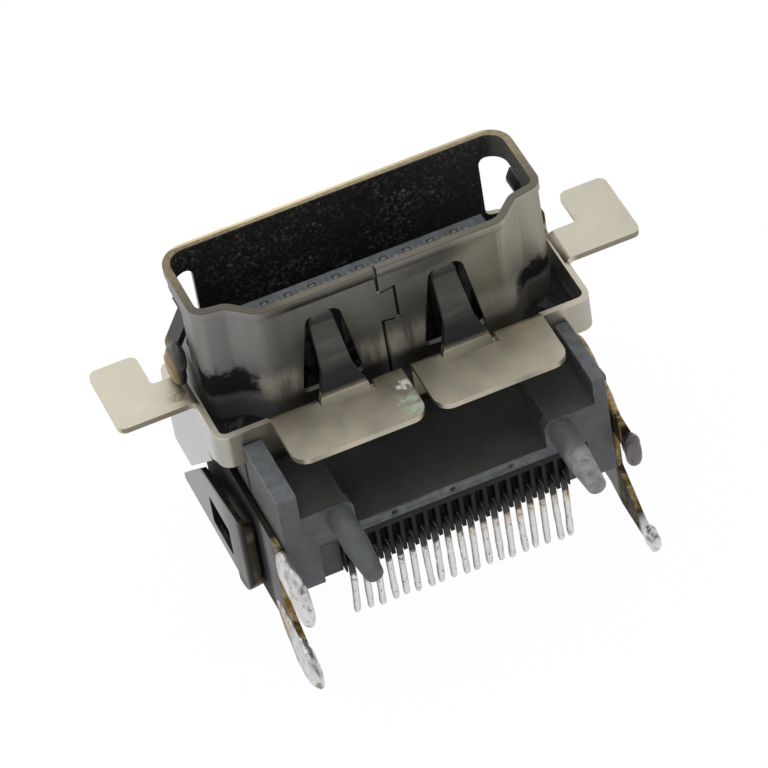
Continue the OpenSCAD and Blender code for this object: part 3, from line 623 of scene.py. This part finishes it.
def solder_metal(look):
    """Solder: bright tin that froze smooth, with dull patches, flux at its upper end and, at the left rear, a
    strip of the bare grey sheet."""
    made, s = material("solder_metal")
    place = s.place()
    x, y, z = s.parts(place)
    cloud = s.noise(place, 0.7)
    fine = s.noise(place, 0.12, 3.0)
    colour = s.tint(look.tin, 0.55 + 0.5 * cloud)
    dull = s.noise(place, 0.5, 3.0).rise(0.5, 0.72)
    colour = s.blend(dull * 0.7, colour, (0.24, 0.235, 0.23))
    streak = s.noise(s.stretched(place, 1.0, 0.35, 1.0), 0.3, 4.0).rise(0.55, 0.66)
    colour = s.blend(streak * 0.75, colour, (0.17, 0.125, 0.06))
    amber = y.rise(-0.3, 0.5) * s.noise(place, 0.35).rise(0.42, 0.55)
    colour = s.blend(amber, colour, s.blend(fine.rise(0.4, 0.6), look.flux, (0.3, 0.26, 0.18)))
    sheet = (z + 0.5 * cloud - 0.45 * y).rise(-5.4, -5.7) * y.rise(-1.5, -0.8) * x.rise(0.0, -1.0)
    colour = s.blend(sheet, colour, s.tint((0.13, 0.13, 0.132), 0.5 + cloud))
    s.finish(Base_Color=colour, Metallic=1.0 - 0.6 * (amber | streak | sheet), Roughness=0.3 + 0.2 * cloud,
             Normal=s.bump(cloud + fine * 0.2, 0.02))
    return made


def burnt_flux():
    """Burnt flux on the broken leg: dark brown with a glassy skin and a purple-grey end."""
    made, s = material("burnt_flux")
    place = s.place()
    y = s.parts(place)[1]
    cloud = s.noise(place, 0.4)
    fine = s.noise(place, 0.1, 3.0)
    colour = s.blend(cloud.rise(0.42, 0.66), (0.012, 0.009, 0.007), (0.05, 0.033, 0.018))
    colour = s.blend(y.rise(-0.85, -1.1) * cloud.rise(0.3, 0.5), colour, (0.11, 0.078, 0.095))
    s.finish(Base_Color=colour, Roughness=0.3 + 0.3 * fine, Coat_Weight=0.5, Coat_Roughness=0.2,
             Normal=s.bump(cloud + fine * 0.4, 0.04))
    return made


def amber_flux(look):
    """Flux along the right side plate's edge and on the left clip's foot: gold where it is thin, dark brown
    where it is thick, and darker on the left."""
    made, s = material("amber_flux")
    place = s.place()
    x = s.parts(place)[0]
    cloud = s.noise(place, 0.5)
    fine = s.noise(place, 0.12, 3.0)
    colour = s.blend(fine.rise(0.4, 0.62), look.flux, (0.5, 0.38, 0.2))
    colour = s.blend(cloud.rise(0.54, 0.68), colour, (0.05, 0.035, 0.02))
    left = x.rise(0.0, -1.0)
    colour = s.blend(left * 0.75, colour, s.tint(look.flux, 0.2 + 0.5 * fine))
    colour = s.blend(left * x.rise(-8.2, -8.05), colour, (0.012, 0.011, 0.01))
    s.finish(Base_Color=colour, Roughness=0.3 + 0.3 * fine, Coat_Weight=0.3, Coat_Roughness=0.25,
             Normal=s.bump(cloud + fine * 0.4, 0.03))
    return made


def fillet_path(corners, radii, steps=7):
    """An open path in a plane whose inner corners are arcs: each arc's centre lies on the corner's bisector,
    at radius over the sine of half its angle, and the arc turns from one tangent point to the other."""
    corners = np.asarray(corners, float)
    pieces = [corners[:1]]
    for a, p, b, r in zip(corners[:-2], corners[1:-1], corners[2:], radii):
        u, v = (a - p) / np.linalg.norm(a - p), (b - p) / np.linalg.norm(b - p)
        half = np.arccos(np.clip(u @ v, -1, 1)) / 2
        middle = p + (u + v) / np.linalg.norm(u + v) * r / np.sin(half)
        start, stop = p + u * r / np.tan(half) - middle, p + v * r / np.tan(half) - middle
        first, last = np.arctan2(start[1], start[0]), np.arctan2(stop[1], stop[0])
        turn = (last - first + np.pi) % (2 * np.pi) - np.pi
        angle = first + turn * np.linspace(0, 1, steps)
        pieces.append(middle + r * np.stack([np.cos(angle), np.sin(angle)], 1))
    pieces.append(corners[-1:])
    return np.concatenate(pieces)


def even_points(path, count):
    """The same path as count points at even distances along it."""
    step = np.r_[0, np.cumsum(np.linalg.norm(np.diff(path, axis=0), axis=1))]
    at = np.linspace(0, step[-1], count)
    return np.stack([np.interp(at, step, path[:, k]) for k in range(path.shape[1])], 1)


def rounded_section(count, power):
    """A closed section of half sides 1: a superellipse, whose cos and sin are each taken to the power
    2 / power and keep their signs."""
    turn = np.linspace(0, 2 * np.pi, count, endpoint=False)
    c, s = np.cos(turn), np.sin(turn)
    return np.sign(c) * np.abs(c) ** (2 / power), np.sign(s) * np.abs(s) ** (2 / power)


def skin(name, grid):
    """A closed piece from a grid of rows round a path, rows by columns by 3, in millimetres. Columns wrap
    round, and each end row closes on its own middle point."""
    rows, columns = grid.shape[:2]
    ends = np.stack([grid[0].mean(0), grid[-1].mean(0)])
    points = np.concatenate([grid.reshape(-1, 3), ends]) * MM
    i, j = np.meshgrid(np.arange(rows - 1), np.arange(columns), indexing="ij")
    k = (j + 1) % columns
    quads = np.stack([i * columns + j, i * columns + k, (i + 1) * columns + k, (i + 1) * columns + j], -1)
    ring = np.arange(columns)
    after = (ring + 1) % columns
    first = np.full(columns, rows * columns)
    near = np.stack([first, after, ring], -1)
    far = np.stack([first + 1, (rows - 1) * columns + ring, (rows - 1) * columns + after], -1)
    mesh = bpy.data.meshes.new(name)
    mesh.from_pydata(points.tolist(), [], quads.reshape(-1, 4).tolist() + near.tolist() + far.tolist())
    tidy = bmesh.new()
    tidy.from_mesh(mesh)
    bmesh.ops.recalc_face_normals(tidy, faces=tidy.faces)
    tidy.to_mesh(mesh)
    tidy.free()
    mesh.polygons.foreach_set("use_smooth", np.ones(len(mesh.polygons), bool))
    mesh.update()
    made = bpy.data.objects.new(name, mesh)
    bpy.context.scene.collection.objects.link(made)
    return made


def settle(piece, finish, nodes=()):
    """Gives a piece its finish and its body, and hides the solids that it stands for."""
    piece.data.materials.clear()
    piece.data.materials.append(finish)
    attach(piece, BODY)
    if nodes:
        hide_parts(*nodes)


def rounded_copy(node, name, width, cut=(), crisp=False):
    """A merged copy of a solid with its sharp edges rounded by a bevel. Its flat faces are whole again,
    except in the boxes of cut, in millimetres: there the seam, slots or holes make rings of them, and they
    stay as triangles. With crisp, the triangles that reach into those boxes stay too, and no edge in them is
    rounded."""
    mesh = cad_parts[node].data.copy()
    mesh.name = name
    whole = bmesh.new()
    whole.from_mesh(mesh)
    bmesh.ops.remove_doubles(whole, verts=whole.verts, dist=MERGE_GAP)
    places = np.array([v.co for v in whole.verts]) / MM
    held = np.zeros(len(places), bool)
    for low, high in cut:
        held |= ((places >= low) & (places <= high)).all(1)
    ring = {v for v, inside in zip(whole.verts, held) if inside}
    plain = [v for v in whole.verts if v not in ring]
    kept = 1 if crisp else 2
    flat = [e for e in whole.edges if len(ring.intersection(e.verts)) < kept]
    bmesh.ops.dissolve_limit(whole, angle_limit=FLAT_ANGLE, verts=plain, edges=flat)
    weight = whole.edges.layers.float.new("bevel_weight_edge")
    for e in whole.edges:
        sharp = len(e.link_faces) == 2 and e.calc_face_angle() > ROUND_ANGLE
        e[weight] = float(sharp and not (crisp and ring.issuperset(e.verts)))
    whole.to_mesh(mesh)
    whole.free()
    mesh.polygons.foreach_set("use_smooth", np.ones(len(mesh.polygons), bool))
    mesh.set_sharp_from_angle(angle=BREAK_ANGLE)
    made = bpy.data.objects.new(name, mesh)
    bpy.context.scene.collection.objects.link(made)
    edge = made.modifiers.new("edge", "BEVEL")
    edge.width = width
    edge.segments = BEVEL_SEGMENTS
    edge.limit_method = "WEIGHT"
    edge.use_clamp_overlap = True
    edge.harden_normals = True
    edge.miter_outer = "MITER_ARC"
    return made


def mark_lining(piece):
    """Marks the faces whose normal points to the mouth's axis. The finish lines them above the floor only,
    because the mouth's flat sides run down into the side plates as one sheet."""
    mesh = piece.data
    count = len(mesh.polygons)
    middle, normal = np.empty(count * 3), np.empty(count * 3)
    mesh.polygons.foreach_get("center", middle)
    mesh.polygons.foreach_get("normal", normal)
    middle = middle.reshape(-1, 3) / MM
    normal = normal.reshape(-1, 3)
    inward = (middle[:, 0] * normal[:, 0] + (middle[:, 1] - AXIS_H) * normal[:, 1]) < -LINING_TURN
    lining = inward & (np.abs(normal[:, 2]) < LINING_TILT) & (np.abs(middle[:, 0]) < LINING_X)
    mark = mesh.attributes.new("lining", "FLOAT", "FACE")
    mark.data.foreach_set("value", lining.astype(np.float32))


def sway(wave, i):
    """Where a wave puts contact i: its height times the sine of its shift times i plus its start."""
    height, shift, start = wave
    return height * np.sin(shift * i + start)


def contact_grid(node, i, form):
    """A rounded strip carried along the contact's path: nose, blade on the tongue, drop and tail. The tin
    swells and thins along the tail by sines of the run, and the tail leans and sags with the square of its
    length. Also gives how near each point is to the strip's two edges, as a power of its place across."""
    low, high = (np.array(c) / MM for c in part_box(node))
    side = 1 if i % 2 else -1
    blade_y = AXIS_H + side * (TONGUE_HALF - CONTACT_HALF + BLADE_SINK)
    drop_z = BACK_Z + CONTACT_HALF + DROP_IN
    corners = [[AXIS_H + NOSE_UP, TONGUE_Z - NOSE_GAP], [blade_y, TONGUE_Z - NOSE_LEN], [blade_y, drop_z],
               [CONTACT_HALF, drop_z], [CONTACT_HALF, low[2] + STRIP_SHORT]]
    path = even_points(fillet_path(corners, [BEND_R] * 3), STRIP_POINTS)
    along = np.gradient(path, axis=0)
    along /= np.linalg.norm(along, axis=1, keepdims=True)
    across = np.stack([-along[:, 1], along[:, 0]], 1)
    tail = np.clip((drop_z - path[:, 1]) / (drop_z - low[2]), 0, 1) * (path[:, 0] < 0.5)
    run = np.linspace(0, 1, len(path))
    swell = 1 + tail * sum(high * np.sin(waves * run + shift * i) for high, waves, shift in TAIL_WAVES)
    tip = np.clip((run - 1 + STRIP_CAP) / STRIP_CAP, 0, 1)
    cap = np.sqrt(np.clip(1 - tip ** 2, STRIP_END, 1))
    lean = (sway(LEAN, i) + BENT.get(i, 0.0)) * tail ** 2
    sag = sway(SAG, i) * tail ** 2
    u, v = rounded_section(STRIP_AROUND, STRIP_POWER)
    half_w, half_t = form.tail_w / MM / 2, form.tail_t / MM / 2
    middle_x = (low[0] + high[0]) / 2
    grid = np.empty((len(path), len(u), 3))
    grid[:, :, 0] = middle_x + lean[:, None] + (half_w * swell * cap)[:, None] * u
    grid[:, :, 1] = path[:, :1] + sag[:, None] + (half_t * swell * cap * across[:, 0])[:, None] * v
    grid[:, :, 2] = path[:, 1:] + (half_t * swell * cap * across[:, 1])[:, None] * v
    return grid, np.broadcast_to(np.abs(u) ** STRIP_EDGE, grid.shape[:2])


# Solder and flux: middle line, half width along the sheet, half thickness and finish, in millimetres
SOLDER = {
    "solder_left_rear": (
        [(-7.15, 2.1, -4.95), (-7.16, 1.3, -5.35), (-7.18, 0.4, -5.7), (-7.23, -0.4, -5.9),
         (-7.24, -1.1, -5.88), (-7.19, -1.75, -5.82), (-7.14, -2.3, -5.8)],
        [0.55, 0.85, 0.95, 0.95, 0.95, 0.8, 0.55], [0.14, 0.15, 0.18, 0.25, 0.3, 0.29, 0.21], "tin"),
    "solder_left_front": (
        [(-7.14, 0.5, -1.25), (-7.15, 0.15, -1.35), (-7.16, -0.5, -1.55), (-7.16, -1.3, -1.65),
         (-7.15, -2.0, -1.68), (-7.13, -2.55, -1.62)],
        [0.55, 0.8, 1.05, 1.15, 1.1, 0.8], [0.17, 0.25, 0.3, 0.31, 0.3, 0.22], "tin"),
    "solder_right_rear": (
        [(7.13, -1.25, -5.55), (7.15, -1.7, -5.7), (7.14, -2.2, -5.75)],
        [0.36, 0.52, 0.47], [0.19, 0.25, 0.23], "tin"),
    "flux_right_plate": (
        [(7.42, 5.3, -0.7), (7.42, 4.2, -0.75), (7.36, 3.0, -0.8), (7.26, 1.8, -0.82), (7.16, 0.9, -0.85),
         (7.13, 0.2, -1.0)],
        [0.2, 0.22, 0.22, 0.22, 0.22, 0.3], [0.3, 0.3, 0.26, 0.2, 0.17, 0.17], "amber"),
    "crust_right_front": (
        [(7.13, -0.3, -1.3), (7.13, -0.6, -1.42), (7.12, -0.92, -1.5), (7.11, -1.28, -1.52)],
        [0.48, 0.7, 0.8, 0.68], [0.19, 0.29, 0.33, 0.29], "burnt"),
    "flux_left_clip": (
        [(-8.03, 7.4, 2.95), (-7.99, 7.35, 3.4), (-7.88, 7.3, 3.95), (-7.74, 7.25, 4.5)],
        [0.7, 0.8, 0.68, 0.45], [0.26, 0.31, 0.28, 0.2], "amber"),
}


def solder_grid(middle, half_w, half_t, lump, seed):
    """A coat carried along a sheet: an oval section whose half sides follow the tables along a smooth line,
    closed to a round at both ends, and swelled by sines of the distance along and the angle round it."""
    given = np.linspace(0, 1, len(middle))
    run = np.linspace(0, 1, COAT_POINTS)
    degree = min(COAT_DEGREE, len(middle) - 1)
    line = np.stack([np.polyval(np.polyfit(given, row, degree), run) for row in np.array(middle).T], 1)
    wide = np.interp(run, given, half_w)
    thick = np.interp(run, given, half_t)
    ends = np.sqrt(np.clip(1 - np.abs(2 * run - 1) ** COAT_ROUND, COAT_END, 1))
    along = np.gradient(line, axis=0)
    along /= np.linalg.norm(along, axis=1, keepdims=True)
    out = np.array([1.0, 0, 0]) - along * along[:, :1]
    out /= np.linalg.norm(out, axis=1, keepdims=True)
    flat = np.cross(along, out)
    turn = np.linspace(0, 2 * np.pi, COAT_AROUND, endpoint=False)
    waves = sum(high * np.sin(ahead * run[:, None] + about * turn + k * seed)
                for k, (high, ahead, about) in enumerate(LUMP_WAVES, 1))
    swell = 1 + lump * ends[:, None] * waves
    u, v = rounded_section(COAT_AROUND, COAT_POWER)
    across = (wide * ends)[:, None] * swell * u
    proud = (thick * ends)[:, None] * swell * v
    return line[:, None] + across[..., None] * flat[:, None] + proud[..., None] * out[:, None]


def floor_finish():
    """White floor: camera, glossy and transmission rays see white with a little of the shadow, and others see
    a pale matt."""
    made, s = material("pale_floor")
    camera, glossy, through = (s.node("ShaderNodeLightPath", out=f"Is {ray} Ray")
                               for ray in ("Camera", "Glossy", "Transmission"))
    seen = camera | glossy | through
    matt = s.node("ShaderNodeBsdfDiffuse", None, {"Color": FLOOR_PAINT})
    white = s.node("ShaderNodeEmission", None, {"Color": WHITE, "Strength": 1.0})
    both = s.node("ShaderNodeMixShader", None, {0: seen * FLOOR_WHITE, 1: matt, 2: white})
    s.node("ShaderNodeOutputMaterial", None, {"Surface": both})
    return made


def studio_world(stage):
    """White for the camera. For the object, an even pale room that is dark low in front."""
    world = bpy.data.worlds.new("studio")
    world.use_nodes = True
    s = Shade(world.node_tree)
    way = s.node("ShaderNodeTexCoord", out="Generated")
    dark_way = tuple(Vector(stage.dark_way).normalized())
    toward = s.vector("DOT_PRODUCT", s.vector("NORMALIZE", way), dark_way, out="Value")
    level = stage.sky + (stage.dusk - stage.sky) * toward.rise(DARK_FROM, DARK_FULL)
    camera = s.node("ShaderNodeLightPath", out="Is Camera Ray")
    light = s.node("ShaderNodeBackground", None, {"Color": WHITE, "Strength": camera | level})
    s.node("ShaderNodeOutputWorld", None, {"Surface": light})
    bpy.context.scene.world = world


def soft_lamp(name, place, aim, side, power):
    """A square lamp at a place, turned to its aim, in millimetres and watts."""
    lamp = bpy.data.lights.new(name, "AREA")
    lamp.shape = "SQUARE"
    lamp.size = side * MM
    lamp.energy = power
    made = bpy.data.objects.new(name, lamp)
    way = Vector(aim) - Vector(place)
    turn = way.to_track_quat("-Z", "Y").to_matrix().to_4x4()
    made.matrix_world = Matrix.Translation(Vector(place) * MM) @ turn
    bpy.context.scene.collection.objects.link(made)
    return made


class SOCKET_OT_inner_shell(bpy.types.Operator):
    """Round the mouth's edges, mark its lining and plate it"""

    bl_idname = "socket.inner_shell"
    bl_label = "Inner shell"

    def execute(self, context):
        form, look = context.scene.socket_form, context.scene.socket_finish
        piece = rounded_copy("inner_shell", "inner_shell_plated", form.plate_round, [SEAM_BOX])
        mark_lining(piece)
        settle(piece, mouth_plating(look), ["inner_shell"])
        return {"FINISHED"}


class SOCKET_OT_outer_shell(bpy.types.Operator):
    """Round the outer shell's edges and plate it"""

    bl_idname = "socket.outer_shell"
    bl_label = "Outer shell"

    def execute(self, context):
        form, look = context.scene.socket_form, context.scene.socket_finish
        piece = rounded_copy("outer_shell", "outer_shell_plated", form.plate_round)
        settle(piece, flange_plating(look), ["outer_shell"])
        return {"FINISHED"}


class SOCKET_OT_rear_cover(bpy.types.Operator):
    """Round the rear cover's edges and plate it"""

    bl_idname = "socket.rear_cover"
    bl_label = "Rear cover"

    def execute(self, context):
        form, look = context.scene.socket_form, context.scene.socket_finish
        piece = rounded_copy("rear_cover", "rear_cover_plated", form.plate_round)
        settle(piece, cover_plating(look), ["rear_cover"])
        return {"FINISHED"}


class SOCKET_OT_mouldings(bpy.types.Operator):
    """Round the edges of the housing and the comb, and give them their plastic"""

    bl_idname = "socket.mouldings"
    bl_label = "Housing and comb"

    def execute(self, context):
        form, look = context.scene.socket_form, context.scene.socket_finish
        boxes = [SLOT_BOX, HOLE_BOX]
        body = rounded_copy("housing", "housing_moulded", form.mould_round, boxes, crisp=True)
        plastic = moulding(look, "housing_moulding", dark=1.0, worn_share=1.0)
        settle(body, plastic, ["housing"])
        comb = rounded_copy("tail_comb", "tail_comb_moulded", form.mould_round / 2)
        plastic = moulding(look, "comb_moulding", dark=0.2, worn_share=0.08)
        settle(comb, plastic, ["tail_comb"])
        return {"FINISHED"}


class SOCKET_OT_contacts(bpy.types.Operator):
    """Draw the nineteen tinned contacts along the paths of their solids"""

    bl_idname = "socket.contacts"
    bl_label = "Contacts"

    def execute(self, context):
        form, look = context.scene.socket_form, context.scene.socket_finish
        finish = tinned_contact(look)
        for i in range(CONTACTS):
            node = "contact_%02d" % (i + 1)
            grid, edge = contact_grid(node, i, form)
            piece = skin(node + "_tinned", grid)
            mark = piece.data.attributes.new("edge", "FLOAT", "POINT")
            mark.data.foreach_set("value", np.r_[edge.ravel(), 0, 0].astype(np.float32))
            settle(piece, finish, [node])
        return {"FINISHED"}


class SOCKET_OT_solder(bpy.types.Operator):
    """Coat the legs, the plate and the clip that carry solder or flux"""

    bl_idname = "socket.solder"
    bl_label = "Solder and flux"

    def execute(self, context):
        form, look = context.scene.socket_form, context.scene.socket_finish
        finishes = {"tin": solder_metal(look), "burnt": burnt_flux(), "amber": amber_flux(look)}
        for i, (name, (middle, half_w, half_t, finish)) in enumerate(SOLDER.items()):
            piece = skin(name, solder_grid(middle, half_w, half_t, form.lump, 1.0 + LUMP_SHIFT * i))
            settle(piece, finishes[finish])
        return {"FINISHED"}


class SOCKET_OT_stage(bpy.types.Operator):
    """Lay the floor, light the socket and place the camera"""

    bl_idname = "socket.stage"
    bl_label = "Stage"

    def execute(self, context):
        scene, stage = context.scene, context.scene.socket_stage
        n = FLOOR_POINTS
        side = np.linspace(-0.5, 0.5, n) * stage.floor_side
        across, along = np.meshgrid(side, side, indexing="ij")
        ground = np.full(across.size, CAD_BOX[0].z - FLOOR_GAP)
        i, j = np.meshgrid(np.arange(n - 1), np.arange(n - 1), indexing="ij")
        tiles = np.stack([i * n + j, (i + 1) * n + j, (i + 1) * n + j + 1, i * n + j + 1], -1).reshape(-1, 4)
        mesh = bpy.data.meshes.new("floor")
        mesh.from_pydata(np.stack([across.ravel(), along.ravel(), ground], 1).tolist(), [], tiles.tolist())
        mesh.materials.append(floor_finish())
        floor = bpy.data.objects.new("floor", mesh)
        scene.collection.objects.link(floor)
        studio_world(stage)
        soft_lamp("back_lamp", place=(-80, 150, 260), aim=(0, 5, 0), side=260, power=0.19)
        front = soft_lamp("front_lamp", place=(-60, -210, 60), aim=(0, 3, 0), side=200, power=0.09)
        front.visible_glossy = False
        camera = bpy.data.cameras.new("camera")
        camera.lens = stage.lens
        camera.sensor_width = SENSOR
        camera.clip_start = NEAREST
        made = bpy.data.objects.new("camera", camera)
        ahead = Vector(stage.ahead).normalized()
        right = ahead.cross(Vector(stage.upward)).normalized()
        up = right.cross(ahead)
        turn = Matrix((right, up, -ahead)).transposed().to_4x4()
        made.matrix_world = Matrix.Translation(Vector(stage.eye)) @ turn
        scene.collection.objects.link(made)
        scene.camera = made
        scene.view_settings.view_transform = "Standard"
        return {"FINISHED"}


class SOCKET_PT_panel(bpy.types.Panel):
    """Steps, sizes and colours of the socket"""

    bl_idname = "SOCKET_PT_panel"
    bl_label = "Socket"
    bl_space_type = "VIEW_3D"
    bl_region_type = "UI"
    bl_category = "Socket"

    def draw(self, context):
        for step in STEPS:
            self.layout.operator(step.bl_idname)
        for group in (context.scene.socket_finish, context.scene.socket_form, context.scene.socket_stage):
            box = self.layout.box()
            for name in group.__annotations__:
                box.prop(group, name)


STEPS = (SOCKET_OT_inner_shell, SOCKET_OT_outer_shell, SOCKET_OT_rear_cover, SOCKET_OT_mouldings,
         SOCKET_OT_contacts, SOCKET_OT_solder, SOCKET_OT_stage)
GROUPS = {"socket_finish": SocketFinish, "socket_form": SocketForm, "socket_stage": SocketStage}


def register():
    for kind in (*GROUPS.values(), *STEPS, SOCKET_PT_panel):
        bpy.utils.register_class(kind)
    for name, kind in GROUPS.items():
        setattr(bpy.types.Scene, name, bpy.props.PointerProperty(type=kind))


def unregister():
    for name in GROUPS:
        delattr(bpy.types.Scene, name)
    for kind in (SOCKET_PT_panel, *reversed(STEPS), *GROUPS.values()):
        bpy.utils.unregister_class(kind)


def main():
    register()
    bpy.ops.socket.inner_shell()
    bpy.ops.socket.outer_shell()
    bpy.ops.socket.rear_cover()
    bpy.ops.socket.mouldings()
    bpy.ops.socket.contacts()
    bpy.ops.socket.solder()
    bpy.ops.socket.stage()
    bpy.context.view_layer.update()


if __name__ == "__main__":
    main()
